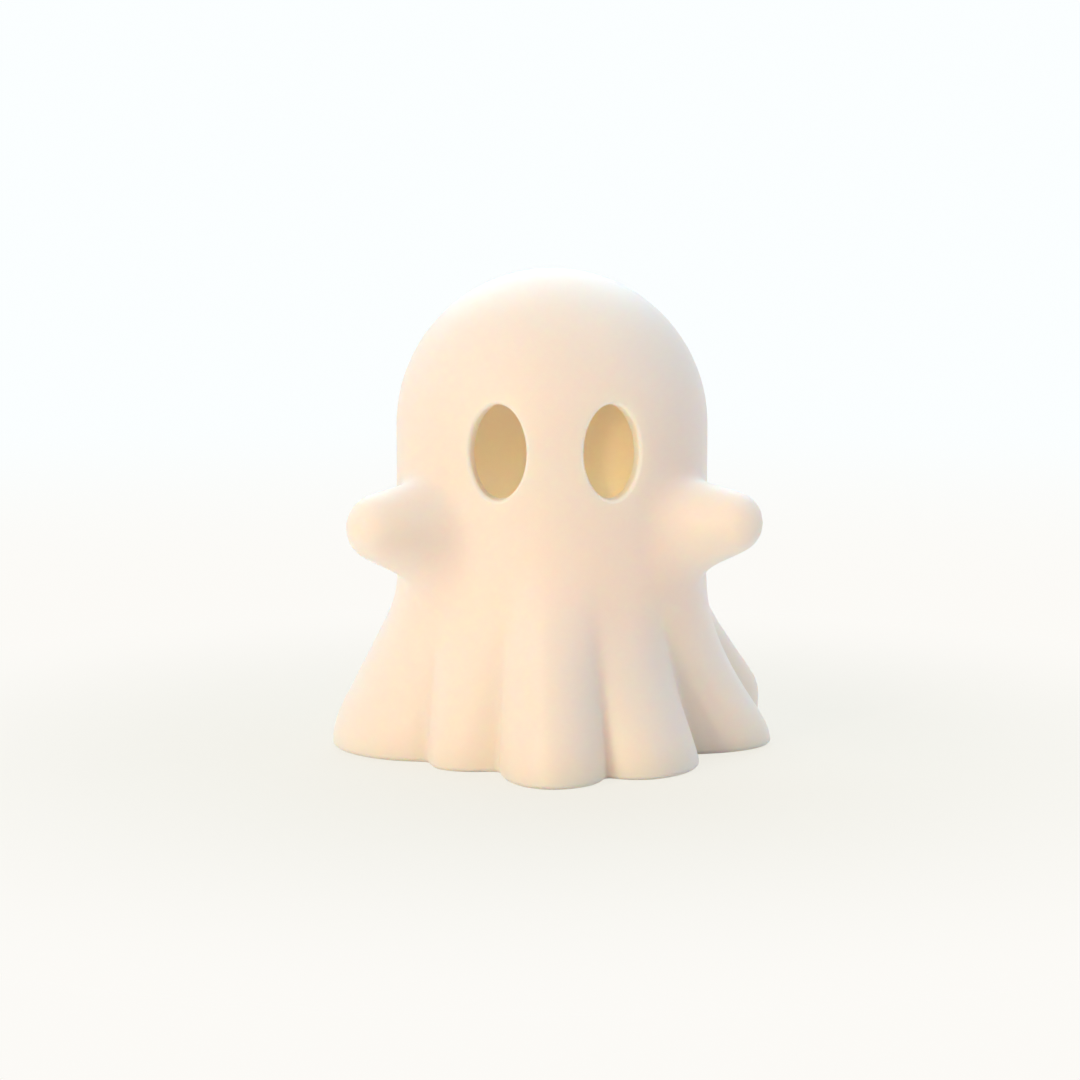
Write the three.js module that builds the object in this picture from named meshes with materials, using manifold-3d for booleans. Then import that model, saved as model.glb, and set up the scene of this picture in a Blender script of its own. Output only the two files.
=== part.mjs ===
// Ghost tealight holder.
// A printed ghost, hollow and open below, that stands over a battery tealight.
// Millimetres, +Z up. The ghost faces -Y, and +X is on the right of a person who faces it.
// The origin is on the table, in the middle of the ghost's footprint.

import * as THREE from 'three';
import { mergeVertices } from 'three/addons/utils/BufferGeometryUtils.js';
import Module from 'manifold-3d';

const wasm = await Module();
wasm.setup();

// Ghost: head, body and wall
const GHOST_HEIGHT = 80;
const BODY_RADIUS = 26;
const WALL = 2.9;
const BORE_TOP_Z = 50.2;
const CEILING_CENTRE_Z = 48;
const FACET_DEG = 3.6;
const FLANK_FACETS = 4;

// Eyes: ovals cut straight in, square to the face, with a softened rim
const EYE_Z = 51.4;
const EYE_WIDTH = 9.5;
const EYE_HEIGHT = 15.1;
const EYE_TURN_DEG = 20.9;
const EYE_RIM_RADIUS = 0.7;

// Arms: short stubs with round ends, turned forward of straight out, and not quite alike
const ARM_TURN_DEG = { right: 54, left: 57.5 };
const ARM_TIP_Z = { right: 38.4, left: 39.4 };
const ARM_REACH = 35;
const ARM_TIP_RADIUS = 4.6;
const ARM_TAPER = { top: 0.22, side: 0.3, below: 0.5 };
const ARM_FILLET = { top: 1.2, side: 6, below: 4.5 };
const ARM_FACETS = 24;
const ARM_SWEEP_STEPS = 4;
const ARM_TIP_STEPS = 5;

// Skirt: the folds stand out from the body and run down to the hem
const HEM_LIP_RADIUS = 0.8;
const HEM_RADIUS = 38.2;
const SKIRT_TOP_Z = 36;
const FOLD_SOFTNESS = 0.06;
const FOLD_SWING = 0.85;
const SINK_RUN = 4;

// Each fold has a crest and, after it, the groove that parts it from the next one.
// Azimuths are in degrees from the front, towards the ghost's left hand: [hem, top].
// At the hem a crest falls short of HEM_RADIUS, and a groove's floor stands out from the body.
// top is the height where the fold leaves the body, stand the height below which it is upright,
// and bow how far it hangs back in between. left and right say how each flank rises at the hem:
// below 1 is full, above 1 is hollow. sink is how deep a groove bites into the body below top.
const FOLDS = [
  { crest: [-89, -84], short: 1, top: 25.5, stand: 3.7, bow: 1, left: 1.1, right: 0.8,
    groove: [-51, -45], floor: 0.9, sink: 0 },
  { crest: [-38, -36], short: 8.5, top: 25, stand: 3.5, bow: 1, left: 1.3, right: 1.2,
    groove: [-19.5, -17], floor: 0.4, sink: 0 },
  { crest: [-1, -2], short: 0, top: 31, stand: 3.5, bow: 1, left: 0.8, right: 0.6,
    groove: [15.2, 13], floor: 4, sink: 0 },
  { crest: [29, 23], short: 3.3, top: 27, stand: 3.5, bow: 1.3, left: 0.6, right: 0.85,
    groove: [61.5, 38.6], floor: 1.2, sink: 1.6 },
  { crest: [88, 64], short: 0.9, top: 27.5, stand: 3, bow: 1.6, left: 1, right: 1.1,
    groove: [99.5, 88], floor: 7, sink: 0 },
  { crest: [109, 101], short: 0.3, top: 25, stand: 8.3, bow: 1.1, left: 1.1, right: 1.2,
    groove: [124, 117], floor: 1.6, sink: 0 },
  { crest: [143, 138], short: 3.7, top: 26, stand: 4, bow: 1, left: 1.1, right: 1.2,
    groove: [159, 156], floor: 2.2, sink: 0 },
  { crest: [180, 180], short: 0, top: 29, stand: 4, bow: 1.1, left: 1.1, right: 1.1,
    groove: [201, 203], floor: 2.8, sink: 0 },
  { crest: [217, 219], short: 4.6, top: 25, stand: 4, bow: 1, left: 1.2, right: 1.1,
    groove: [232, 235], floor: 0.6, sink: 0 },
  { crest: [246, 247], short: 2, top: 27, stand: 4, bow: 1.1, left: 1.2, right: 1.1,
    groove: [258, 261], floor: 3.5, sink: 0 },
];

// Tealight: cup
const CUP_FOOT_RADIUS = 18.5;
const CUP_RIM_RADIUS = 18.8;
const CUP_HEIGHT = 18.6;
const CUP_WALL = 1.6;
const CUP_RIM_WIDTH = 1.4;
const DISH_EDGE_RADIUS = 14.5;
const DISH_EDGE_Z = 16.7;
const DISH_Z = 16;
const DISH_THICKNESS = 1.2;
const WICK_COLLAR_WIDTH = 1;
const WICK_COLLAR_RISE = 0.7;
const CUP_FACETS = 40;

// Tealight: flame and lamp. FLAME_LINE is the flame's side: [share of its height, share of its
// belly's radius].
const FLAME_NECK_RADIUS = 5.3;
const FLAME_BELLY_RADIUS = 5.5;
const FLAME_TIP_Z = 37;
const FLAME_LEAN = 0.9;
const FLAME_LINE = [[0.22, 1], [0.42, 0.93], [0.65, 0.66], [0.87, 0.3]];
const FLAME_WALL = 1;
const FLAME_FLANGE_RADIUS = 7.2;
const FLAME_FLANGE_THICKNESS = 1.2;
const SOCKET_WALL = 1;
const SOCKET_DEPTH = 2.2;
const LED_RADIUS = 2.5;
const LED_FLANGE_RADIUS = 2.9;
const LED_FLANGE_THICKNESS = 1;
const LED_HEIGHT = 8.6;
const LEAD_RADIUS = 0.25;
const LEAD_SPACING = 2.54;

// Tealight: base plate, cell and door
const CELL_RADIUS = 10;
const CELL_THICKNESS = 3.2;
const CELL_CAP_RADIUS = 8.4;
const CELL_STEP = 0.5;
const CELL_EDGE = 0.3;
const CELL_LIFT = 0.1;
const CELL_FACETS = 40;
const BASE_RECESS = 0.9;
const BASE_THICKNESS = 1.4;
const BASE_REBATE = 0.4;
const SNAP_BEAD = 0.5;
const WELL_WALL = 1.3;
const DOOR_RADIUS = 10.7;
const DOOR_THICKNESS = 1.2;
const DOOR_CHAMFER = 0.3;
const DOOR_TAB_WIDTH = 5.6;
const FINGER_RADIUS = 5;
const FINGER_DEPTH = 0.6;
const FINGER_INSET = 3;
const HINGE_RADIUS = 0.6;
const HINGE_LENGTH = 7.6;
const HINGE_OVERHANG = 1;
const HINGE_RIM = 2.1;
const HINGE_CLIP_WALL = 0.4;

// Tealight: contacts and switch
const CONTACT_THICKNESS = 0.3;
const CONTACT_WIDTH = 4;
const STRIP_FOOT = 3;
const STRIP_TOUCH = 3;
const STRIP_TIP_RISE = 1.2;
const SHELF_RISE = 1.6;
const SHELF_START_X = 1.3;
const SHELF_END_X = 5.3;
const SWITCH_Y = -12.2;
const SWITCH_TRAVEL = 3;
const KNOB_LENGTH = 3.6;
const KNOB_WIDTH = 2.6;
const KNOB_DROP = 0.55;
const SLIDER_LENGTH = 11.6;
const SLIDER_WIDTH = 4.4;
const SLIDER_THICKNESS = 1;
const RAIL_WALL = 0.9;
const WIPER_CREST_LENGTH = 3.8;

// Gap between pieces that seat on each other
const GAP = 0.3;

const RAD = Math.PI / 180;

// Solids and meshes

function solidOf(geometry) {
  const bare = geometry.index ? geometry.clone() : mergeVertices(geometry);
  bare.deleteAttribute('normal');
  bare.deleteAttribute('uv');
  const merged = mergeVertices(bare, 1e-4);
  const index = Array.from(merged.index.array);
  const kept = [];
  for (let i = 0; i < index.length; i += 3) {
    const [a, b, c] = index.slice(i, i + 3);
    if (a !== b && b !== c && c !== a) kept.push(a, b, c);
  }
  return new wasm.Manifold(new wasm.Mesh({
    numProp: 3,
    vertProperties: new Float32Array(merged.attributes.position.array),
    triVerts: new Uint32Array(kept),
  }));
}

function join(...geometries) {
  return geometries.map(solidOf).reduce((whole, piece) => whole.add(piece));
}

function meshOf(name, solid, finish) {
  const { vertProperties, triVerts } = solid.getMesh();
  const geometry = new THREE.BufferGeometry();
  geometry.setAttribute('position', new THREE.BufferAttribute(vertProperties, 3));
  geometry.setIndex(new THREE.BufferAttribute(triVerts, 1));
  geometry.computeVertexNormals();
  const mesh = new THREE.Mesh(geometry, new THREE.MeshStandardMaterial(finish));
  mesh.name = name;
  return mesh;
}

// A turned shape. The outline holds [radius, height] pairs, anticlockwise from the axis.
function turned(outline, facets) {
  const points = outline.map(([radius, z]) => new THREE.Vector2(Math.max(radius, 0), z));
  return new THREE.LatheGeometry(points, facets).rotateX(Math.PI / 2);
}

// A block between two corners.
function block(low, high) {
  const size = high.map((value, axis) => value - low[axis]);
  const middle = high.map((value, axis) => (value + low[axis]) / 2);
  return new THREE.BoxGeometry(...size).translate(...middle);
}

// A flat outline in YZ, drawn [y, z], made into a strip of a given width centred on x.
function strip(outline, width, x) {
  const shape = new THREE.Shape(outline.map(([y, z]) => new THREE.Vector2(y, z)));
  const geometry = new THREE.ExtrudeGeometry(shape, { depth: width, bevelEnabled: false });
  const turn = new THREE.Matrix4().makeBasis(
    new THREE.Vector3(0, 1, 0), new THREE.Vector3(0, 0, 1), new THREE.Vector3(1, 0, 0));
  return geometry.applyMatrix4(turn).translate(x - width / 2, 0, 0);
}

// Closed rings of equal count, skinned in order and capped at both ends.
function loft(rings) {
  const count = rings[0].length;
  const positions = rings.flat().flatMap((point) => point.toArray());
  const index = [];
  for (let ring = 0; ring < rings.length - 1; ring += 1) {
    for (let i = 0; i < count; i += 1) {
      const a = ring * count + i;
      const b = ring * count + ((i + 1) % count);
      index.push(a, b, b + count, a, b + count, a + count);
    }
  }
  const last = (rings.length - 1) * count;
  for (let i = 1; i < count - 1; i += 1) {
    index.push(0, i + 1, i);
    index.push(last, last + i, last + i + 1);
  }
  const geometry = new THREE.BufferGeometry();
  geometry.setAttribute('position', new THREE.Float32BufferAttribute(positions, 3));
  geometry.setIndex(index);
  return geometry;
}

// Ghost shell

const HEAD_CENTRE_Z = GHOST_HEIGHT - BODY_RADIUS;
const BORE_RADIUS = BODY_RADIUS - WALL;

function mix(from, to, share) {
  return from + (to - from) * share;
}

// Zero below nothing and the value itself well above, with a soft turn between.
function softRise(value) {
  return FOLD_SOFTNESS * Math.log(1 + Math.exp(value / FOLD_SOFTNESS));
}

// How far a fold has come out, from 0 where it leaves the body to 1 where it stands upright.
function flare(z, fold) {
  const run = softRise((fold.top - z) / (fold.top - fold.stand));
  return (run - softRise(run - 1)) ** fold.bow;
}

// How far a groove has bitten into the body, from 0 at its fold's top to 1 a short way below.
function bite(z, fold) {
  const run = softRise((fold.top - z) / SINK_RUN);
  return run - softRise(run - 1);
}

// The corners of the skirt's section at one height: crests and grooves in turn.
function foldCorners(z) {
  const share = Math.min(1, z / SKIRT_TOP_Z) ** FOLD_SWING;
  const corners = FOLDS.flatMap((fold) => {
    const out = flare(z, fold);
    const sunk = fold.sink * bite(z, fold);
    return [
      { azimuth: mix(...fold.crest, share), radius: mix(BODY_RADIUS, HEM_RADIUS - fold.short, out), out },
      { azimuth: mix(...fold.groove, share), radius: BODY_RADIUS + fold.floor * out - sunk, out },
    ];
  });
  return [...corners, { ...corners[0], azimuth: corners[0].azimuth + 360 }];
}

// The skirt's outline at one height, as [azimuth, radius] pairs. From a groove to a crest it
// rises like a quarter wave, so crests are round and grooves are creases. A flank takes on its
// own form as the fold comes out. It has as many facets at every height, so that they follow
// the folds as these swing round.
function skirtOutline(z) {
  const corners = foldCorners(z);
  return foldCorners(0).slice(0, -1).flatMap((hemCorner, i) => {
    const hemWidth = foldCorners(0)[i + 1].azimuth - hemCorner.azimuth;
    const facets = Math.max(FLANK_FACETS, Math.round(hemWidth / FACET_DEG));
    const fromCrest = i % 2 === 0;
    const fold = FOLDS[fromCrest ? i / 2 : ((i + 1) / 2) % FOLDS.length];
    return Array.from({ length: facets }, (_, k) => {
      const share = k / facets;
      const climb = Math.sin((fromCrest ? 1 - share : share) * Math.PI / 2);
      const [low, high] = fromCrest ? [corners[i + 1], corners[i]] : [corners[i], corners[i + 1]];
      const rise = climb ** mix(1, fromCrest ? fold.right : fold.left, Math.sqrt(high.out));
      return [mix(corners[i].azimuth, corners[i + 1].azimuth, share), mix(low.radius, high.radius, rise)];
    });
  });
}

// The hem's lower edge is rounded over.
function lipInset(z) {
  const drop = Math.max(0, 1 - z / HEM_LIP_RADIUS);
  return HEM_LIP_RADIUS * (1 - Math.sqrt(1 - drop * drop));
}

function ringOf(outline, z) {
  return outline.map(([azimuth, radius]) => new THREE.Vector3(
    Math.sin(azimuth * RAD) * radius, -Math.cos(azimuth * RAD) * radius, z));
}

// The outside, from a disc inside the bore's mouth, out to the hem, and up to the crown.
function ghostOutside() {
  const skirtSteps = 13;
  const headSteps = 9;
  const lipSteps = 2;
  const crownRadius = 0.6;
  const round = skirtOutline(SKIRT_TOP_Z).map(([azimuth]) => azimuth);
  const rings = [ringOf(round.map((azimuth) => [azimuth, BORE_RADIUS / 2]), 0)];
  for (let i = 0; i < lipSteps; i += 1) {
    const z = HEM_LIP_RADIUS * (i / lipSteps) ** 1.5;
    const inset = lipInset(z);
    rings.push(ringOf(skirtOutline(z).map(([azimuth, radius]) => [azimuth, radius - inset]), z));
  }
  for (let i = 0; i <= skirtSteps; i += 1) {
    const z = mix(HEM_LIP_RADIUS, SKIRT_TOP_Z, i / skirtSteps);
    rings.push(ringOf(skirtOutline(z), z));
  }
  for (let i = 0; i <= headSteps; i += 1) {
    const lift = Math.acos(crownRadius / BODY_RADIUS) * (i / headSteps);
    const z = HEAD_CENTRE_Z + BODY_RADIUS * Math.sin(lift);
    rings.push(ringOf(round.map((azimuth) => [azimuth, BODY_RADIUS * Math.cos(lift)]), z));
  }
  return loft(rings);
}

// Arms: a cone with a round end, and a sweep into the body at its root. Each of its lines is
// drawn from the root to the tip: out of the wall, along the sweep, up the cone, over the end.
// The sweep is tangent to both, wide at the sides and below and tight on top.
function armLine(side, angle) {
  const turn = ARM_TURN_DEG[side] * (side === 'left' ? 1 : -1);
  const aside = Math.cos(angle);
  const up = Math.sin(angle);
  const lean = up > 0 ? 'top' : 'below';
  const share = up * up;
  const taper = mix(ARM_TAPER.side, ARM_TAPER[lean], share);
  const sweep = mix(ARM_FILLET.side, ARM_FILLET[lean], share);
  const slope = Math.atan(taper);
  const centre = (distance, out, rise) => {
    const spot = new THREE.Vector3(out, -distance, ARM_TIP_Z[side] + rise);
    return spot.applyAxisAngle(new THREE.Vector3(0, 0, 1), turn * RAD);
  };
  const coneRadius = (distance) => ARM_TIP_RADIUS / Math.cos(slope) + taper * (ARM_REACH - distance);
  const onCone = (distance) => {
    const radius = coneRadius(distance);
    return centre(distance, radius * aside, radius * up);
  };
  const onBody = (round, rise, depth) => {
    const turned = round / BODY_RADIUS;
    return centre((BODY_RADIUS - depth) * Math.cos(turned), (BODY_RADIUS - depth) * Math.sin(turned), rise);
  };
  let meet = BODY_RADIUS;
  for (let i = 0; i < 8; i += 1) meet = Math.sqrt(BODY_RADIUS ** 2 - (coneRadius(meet) * aside) ** 2);
  const meetRound = BODY_RADIUS * Math.asin((coneRadius(meet) * aside) / BODY_RADIUS);
  const meetRise = coneRadius(meet) * up;
  const grow = 1 + sweep / Math.hypot(meetRound, meetRise);
  const curve = new THREE.QuadraticBezierCurve3(
    onBody(meetRound * grow, meetRise * grow, 0), onCone(meet), onCone(meet + sweep));
  const sunk = WALL / 2;
  const points = [
    onBody(meetRound * grow, meetRise * grow, BODY_RADIUS / 2),
    onBody(meetRound * grow, meetRise * grow, sunk),
    ...curve.getPoints(ARM_SWEEP_STEPS),
    onCone(mix(meet + sweep, ARM_REACH + ARM_TIP_RADIUS * Math.sin(slope), 0.5)),
  ];
  for (let i = 0; i <= ARM_TIP_STEPS; i += 1) {
    const bend = mix(slope, Math.PI / 2, i / (ARM_TIP_STEPS + 0.4));
    const radius = ARM_TIP_RADIUS * Math.cos(bend);
    points.push(centre(ARM_REACH + ARM_TIP_RADIUS * Math.sin(bend), radius * aside, radius * up));
  }
  return points;
}

function arm(side) {
  const lines = Array.from({ length: ARM_FACETS }, (_, i) => armLine(side, (i / ARM_FACETS) * 2 * Math.PI));
  return loft(lines[0].map((_, station) => lines.map((line) => line[station])));
}

// Distance from the axis to the outside of the body, along an eye's own direction, at a
// point that lies off to one side of it and at a height.
function depthOfFace(aside, z) {
  const above = Math.max(0, z - HEAD_CENTRE_Z);
  return Math.sqrt(BODY_RADIUS ** 2 - aside ** 2 - above ** 2);
}

// The tool that cuts an eye: it follows the face and opens out over the rim's radius.
function eyeCutter(side) {
  const ovalPoints = 32;
  const rimSteps = 3;
  const beyond = 2;
  const out = new THREE.Vector3(side * Math.sin(EYE_TURN_DEG * RAD), -Math.cos(EYE_TURN_DEG * RAD), 0);
  const across = new THREE.Vector3(0, 0, 1).cross(out);
  const ring = (grow, depthAt) => Array.from({ length: ovalPoints }, (_, i) => {
    const angle = (i / ovalPoints) * 2 * Math.PI;
    const aside = (EYE_WIDTH / 2 + grow) * Math.cos(angle);
    const z = EYE_Z + (EYE_HEIGHT / 2 + grow) * Math.sin(angle);
    return out.clone().multiplyScalar(depthAt(aside, z))
      .addScaledVector(across, aside)
      .add(new THREE.Vector3(0, 0, z));
  });
  const rings = [ring(0, () => BORE_RADIUS / 2)];
  for (let i = 0; i <= rimSteps; i += 1) {
    const turn = (i / rimSteps) * (Math.PI / 2) * 0.9;
    const grow = EYE_RIM_RADIUS * (1 - Math.cos(turn));
    const rise = EYE_RIM_RADIUS * (1 - Math.sin(turn));
    rings.push(ring(grow, (aside, z) => depthOfFace(aside, z) - rise));
  }
  rings.push(ring(EYE_RIM_RADIUS * 1.4, (aside, z) => depthOfFace(aside, z) + beyond));
  return loft(rings);
}

// Straight bore for the tealight, closed by a domed ceiling inside the head.
function ghostBore() {
  const domeSteps = 7;
  const boreFacets = 54;
  const domeRadius = Math.hypot(BORE_RADIUS, BORE_TOP_Z - CEILING_CENTRE_Z);
  const startAngle = Math.asin((BORE_TOP_Z - CEILING_CENTRE_Z) / domeRadius);
  const outline = [[0, -1], [BORE_RADIUS, -1]];
  for (let i = 0; i <= domeSteps; i += 1) {
    const angle = mix(startAngle, Math.PI / 2, i / domeSteps);
    outline.push([domeRadius * Math.cos(angle), CEILING_CENTRE_Z + domeRadius * Math.sin(angle)]);
  }
  outline[outline.length - 1][0] = 0;
  return turned(outline, boreFacets);
}

function ghostShell() {
  let solid = join(ghostOutside(), arm('right'), arm('left'));
  solid = solid.subtract(solidOf(ghostBore()));
  solid = solid.subtract(solidOf(eyeCutter(-1)));
  return solid.subtract(solidOf(eyeCutter(1)));
}

// Tealight cup

const SHOULDER_Z = BASE_RECESS + BASE_THICKNESS + GAP;
const FOOT_INSIDE_RADIUS = CUP_FOOT_RADIUS - CUP_WALL + BASE_REBATE;
const BASE_RADIUS = FOOT_INSIDE_RADIUS - GAP;
const DISH_UNDERSIDE_Z = DISH_Z - DISH_THICKNESS;
const WICK_HOLE_RADIUS = Math.max(FLAME_NECK_RADIUS, FLAME_BELLY_RADIUS) + GAP;
const SOCKET_RADIUS = FLAME_FLANGE_RADIUS + GAP;

function tealightCup() {
  const innerTop = CUP_RIM_RADIUS - CUP_WALL;
  const beadTop = BASE_RECESS - GAP;
  const collarTop = DISH_Z + WICK_COLLAR_RISE;
  const collarOuter = WICK_HOLE_RADIUS + WICK_COLLAR_WIDTH;
  const rimInner = CUP_RIM_RADIUS - CUP_RIM_WIDTH;
  const soften = CUP_RIM_WIDTH / 3;
  return solidOf(turned([
    [FOOT_INSIDE_RADIUS, beadTop],
    [FOOT_INSIDE_RADIUS - SNAP_BEAD, beadTop / 2],
    [FOOT_INSIDE_RADIUS - SNAP_BEAD / 3, 0],
    [CUP_FOOT_RADIUS, 0],
    [CUP_RIM_RADIUS, CUP_HEIGHT - soften],
    [CUP_RIM_RADIUS - soften, CUP_HEIGHT],
    [rimInner + soften, CUP_HEIGHT],
    [rimInner, CUP_HEIGHT - soften],
    [mix(rimInner, DISH_EDGE_RADIUS, 0.4), mix(CUP_HEIGHT, DISH_EDGE_Z, 0.75)],
    [DISH_EDGE_RADIUS, DISH_EDGE_Z],
    [mix(DISH_EDGE_RADIUS, collarOuter, 0.5), mix(DISH_EDGE_Z, DISH_Z, 0.8)],
    [collarOuter + WICK_COLLAR_WIDTH, DISH_Z],
    [collarOuter, collarTop - WICK_COLLAR_RISE / 3],
    [collarOuter - WICK_COLLAR_WIDTH / 3, collarTop],
    [WICK_HOLE_RADIUS, collarTop - WICK_COLLAR_RISE / 3],
    [WICK_HOLE_RADIUS, DISH_UNDERSIDE_Z],
    [SOCKET_RADIUS, DISH_UNDERSIDE_Z],
    [SOCKET_RADIUS, DISH_UNDERSIDE_Z - SOCKET_DEPTH],
    [SOCKET_RADIUS + SOCKET_WALL, DISH_UNDERSIDE_Z - SOCKET_DEPTH],
    [SOCKET_RADIUS + SOCKET_WALL, DISH_UNDERSIDE_Z],
    [innerTop, DISH_UNDERSIDE_Z],
    [CUP_FOOT_RADIUS - CUP_WALL, SHOULDER_Z],
    [FOOT_INSIDE_RADIUS, SHOULDER_Z],
    [FOOT_INSIDE_RADIUS, beadTop],
  ], CUP_FACETS));
}

// Flame and lamp

const FLAME_FLANGE_TOP = DISH_UNDERSIDE_Z - GAP;
const FLAME_FLANGE_BOTTOM = FLAME_FLANGE_TOP - FLAME_FLANGE_THICKNESS;
const LED_FLANGE_TOP = FLAME_FLANGE_BOTTOM - GAP;
const LED_BOTTOM = LED_FLANGE_TOP - LED_FLANGE_THICKNESS;

function flameBulb() {
  const facets = 24;
  const steps = 11;
  const height = FLAME_TIP_Z - FLAME_FLANGE_TOP;
  const side = new THREE.SplineCurve([
    new THREE.Vector2(FLAME_NECK_RADIUS, FLAME_FLANGE_TOP),
    ...FLAME_LINE.map(([rise, width]) =>
      new THREE.Vector2(FLAME_BELLY_RADIUS * width, FLAME_FLANGE_TOP + height * rise)),
    new THREE.Vector2(0, FLAME_TIP_Z),
  ]).getPoints(steps).map((point) => [point.x, point.y]);
  const hollow = side.map(([radius, z]) => [radius - FLAME_WALL, z])
    .filter(([radius]) => radius > FLAME_WALL / 2);
  const hollowTop = hollow[hollow.length - 1][1] + FLAME_WALL;
  const outline = [
    [0, hollowTop],
    ...hollow.reverse(),
    [LED_RADIUS + GAP, FLAME_FLANGE_TOP],
    [LED_RADIUS + GAP, FLAME_FLANGE_BOTTOM],
    [FLAME_FLANGE_RADIUS, FLAME_FLANGE_BOTTOM],
    [FLAME_FLANGE_RADIUS, FLAME_FLANGE_TOP],
    ...side,
  ];
  outline[outline.length - 1][0] = 0;
  const geometry = turned(outline, facets);
  const position = geometry.attributes.position;
  for (let i = 0; i < position.count; i += 1) {
    const climb = Math.max(0, (position.getZ(i) - FLAME_FLANGE_TOP) / height);
    position.setX(i, position.getX(i) + FLAME_LEAN * climb * climb);
  }
  return solidOf(geometry);
}

function led() {
  const facets = 20;
  const domeSteps = 4;
  const domeStart = LED_BOTTOM + LED_HEIGHT - LED_RADIUS;
  const outline = [
    [0, LED_BOTTOM],
    [LED_FLANGE_RADIUS, LED_BOTTOM],
    [LED_FLANGE_RADIUS, LED_FLANGE_TOP],
    [LED_RADIUS, LED_FLANGE_TOP],
  ];
  for (let i = 0; i <= domeSteps; i += 1) {
    const angle = (i / domeSteps) * (Math.PI / 2);
    outline.push([LED_RADIUS * Math.cos(angle), domeStart + LED_RADIUS * Math.sin(angle)]);
  }
  outline[outline.length - 1][0] = 0;
  return solidOf(turned(outline, facets));
}

// Base plate, cell and door

const BASE_TOP = BASE_RECESS + BASE_THICKNESS;
const DOOR_TOP = BASE_RECESS + DOOR_THICKNESS;
const HINGE_Y = BASE_RADIUS - HINGE_RIM;
const CELL_CENTRE_Y = HINGE_Y - HINGE_OVERHANG - DOOR_RADIUS;
const HINGE_Z = BASE_RECESS + DOOR_THICKNESS / 2;
const SEAT_Z = Math.max(DOOR_TOP + GAP, HINGE_Z + HINGE_RADIUS + GAP);
const CELL_BOTTOM = SEAT_Z + CELL_LIFT;
const CELL_TOP = CELL_BOTTOM + CELL_THICKNESS;
const WELL_RADIUS = CELL_RADIUS + GAP;
const WELL_TOP = CELL_TOP + GAP;
const SLIDER_BOTTOM = BASE_TOP + GAP;
const SLIDER_TOP = SLIDER_BOTTOM + SLIDER_THICKNESS;
const BLADE_Y = CELL_CENTRE_Y - CELL_RADIUS - GAP;

function basePlate() {
  const wellOuter = WELL_RADIUS + WELL_WALL;
  const plate = turned([[0, BASE_RECESS], [BASE_RADIUS, BASE_RECESS], [BASE_RADIUS, BASE_TOP], [0, BASE_TOP]],
    CUP_FACETS);
  const well = turned([[0, BASE_RECESS], [wellOuter, BASE_RECESS], [wellOuter, WELL_TOP], [0, WELL_TOP]],
    CELL_FACETS).translate(0, CELL_CENTRE_Y, 0);
  const cellHole = turned([[0, -1], [DOOR_RADIUS + GAP, -1], [DOOR_RADIUS + GAP, SEAT_Z],
    [WELL_RADIUS, SEAT_Z], [WELL_RADIUS, WELL_TOP + 1], [0, WELL_TOP + 1]],
  CELL_FACETS).translate(0, CELL_CENTRE_Y, 0);
  const bladeNotch = block(
    [-CONTACT_WIDTH / 2 - GAP, BLADE_Y - WELL_WALL * 2, SEAT_Z + GAP],
    [CONTACT_WIDTH / 2 + GAP, BLADE_Y + WELL_WALL, WELL_TOP + 1]);
  const slotHalf = (KNOB_LENGTH + SWITCH_TRAVEL) / 2 + GAP;
  const slot = block(
    [-slotHalf, SWITCH_Y - KNOB_WIDTH / 2 - GAP, -1],
    [slotHalf, SWITCH_Y + KNOB_WIDTH / 2 + GAP, BASE_TOP + 1]);
  return join(plate, well)
    .add(hingeEyes())
    .subtract(solidOf(cellHole))
    .subtract(hingeRoom())
    .subtract(solidOf(bladeNotch))
    .subtract(solidOf(slot))
    .add(switchRail(1))
    .add(switchRail(-1));
}

// A round bar along the door's hinge line.
function hingeBar(radius, length) {
  const facets = 16;
  return new THREE.CylinderGeometry(radius, radius, length, facets)
    .rotateZ(Math.PI / 2).translate(0, HINGE_Y, HINGE_Z);
}

// The two eyes that hold the ends of the hinge pin, as one bar. hingeRoom parts them.
function hingeEyes() {
  const cover = GAP + HINGE_CLIP_WALL;
  return solidOf(hingeBar(HINGE_RADIUS + cover, HINGE_LENGTH + 2 * cover));
}

// Room for the pin to turn in, and for the door's tab between the eyes.
function hingeRoom() {
  const radius = HINGE_RADIUS + GAP;
  const half = DOOR_TAB_WIDTH / 2 + GAP;
  const tab = block([-half, CELL_CENTRE_Y + DOOR_RADIUS / 2, -1], [half, HINGE_Y + radius, SEAT_Z]);
  return join(hingeBar(radius, HINGE_LENGTH + 2 * GAP), tab);
}

// A rail with a roof over the slider's edge, so that the slider can't lift.
function switchRail(side) {
  const half = (SLIDER_LENGTH - SWITCH_TRAVEL) / 2;
  const near = SWITCH_Y + side * (SLIDER_WIDTH / 2 + GAP);
  const far = near + side * RAIL_WALL;
  const lip = near - side * RAIL_WALL;
  const top = SLIDER_TOP + GAP + RAIL_WALL;
  const wall = block([-half, Math.min(near, far), mix(BASE_RECESS, BASE_TOP, 0.5)],
    [half, Math.max(near, far), top]);
  const roof = block([-half, Math.min(lip, far), SLIDER_TOP + GAP], [half, Math.max(lip, far), top]);
  return join(wall, roof);
}

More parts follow.
